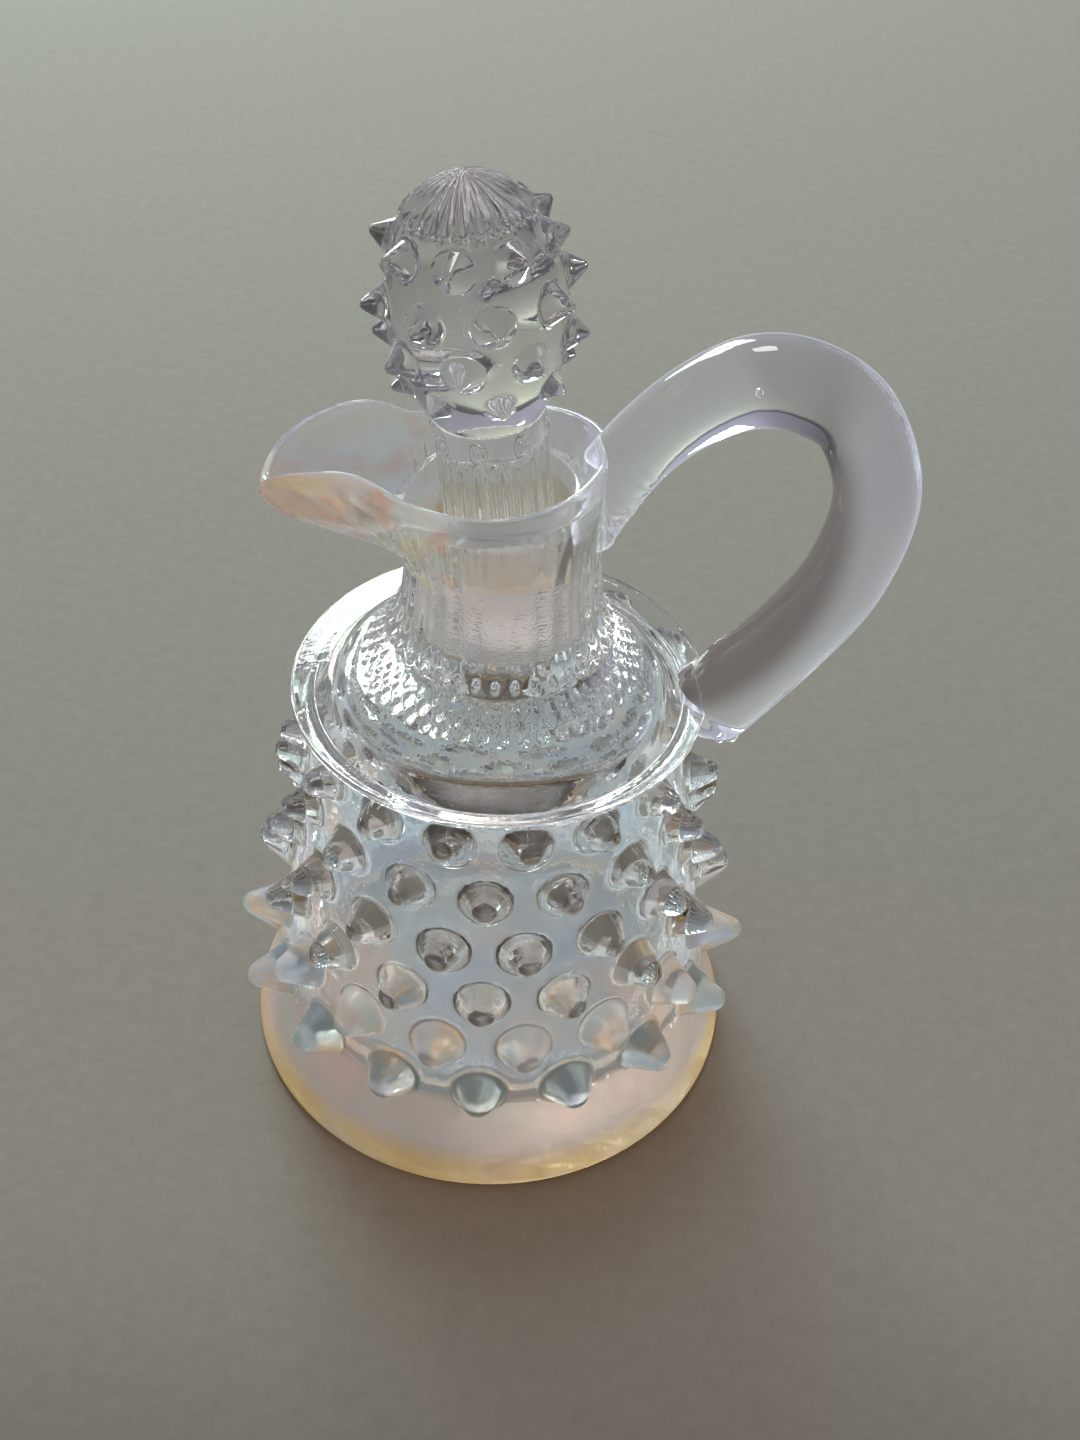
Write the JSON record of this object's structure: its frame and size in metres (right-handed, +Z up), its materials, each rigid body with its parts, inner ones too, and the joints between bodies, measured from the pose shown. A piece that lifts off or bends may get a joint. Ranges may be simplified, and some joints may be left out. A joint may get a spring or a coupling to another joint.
{
  "type": "cruet",
  "caption": "Small hobnail glass cruet with a pulled pouring lip, an applied loop handle and a lift-out ground glass stopper.",
  "frame": {"origin": "centre of the bottle's flat underside, on the surface it stands on", "axes": "+Z up along the bottle's axis, handle on the +X side, pouring lip on the -X side"},
  "size_m": [0.0783, 0.0642, 0.1207],
  "materials": {
    "opalescent_glass": "fire-polished glass, milky in the lower body and clear at the shoulder and neck, amber at the foot",
    "handle_glass": "smooth fire-polished drawn glass with a faint milky violet edge",
    "stopper_glass": "polished pressed glass with a finely ground matt plug"
  },
  "bodies": {
    "bottle_body": {"bottle": "opalescent_glass", "handle": "handle_glass"},
    "stopper_body": {"stopper": "stopper_glass"}
  },
  "joints": [
    {"name": "stopper_lift", "type": "slide", "parent": "bottle_body", "child": "stopper_body", "axis": [-0.1132, 0, 0.9936], "range_m": [0, 0.045]}
  ]
}
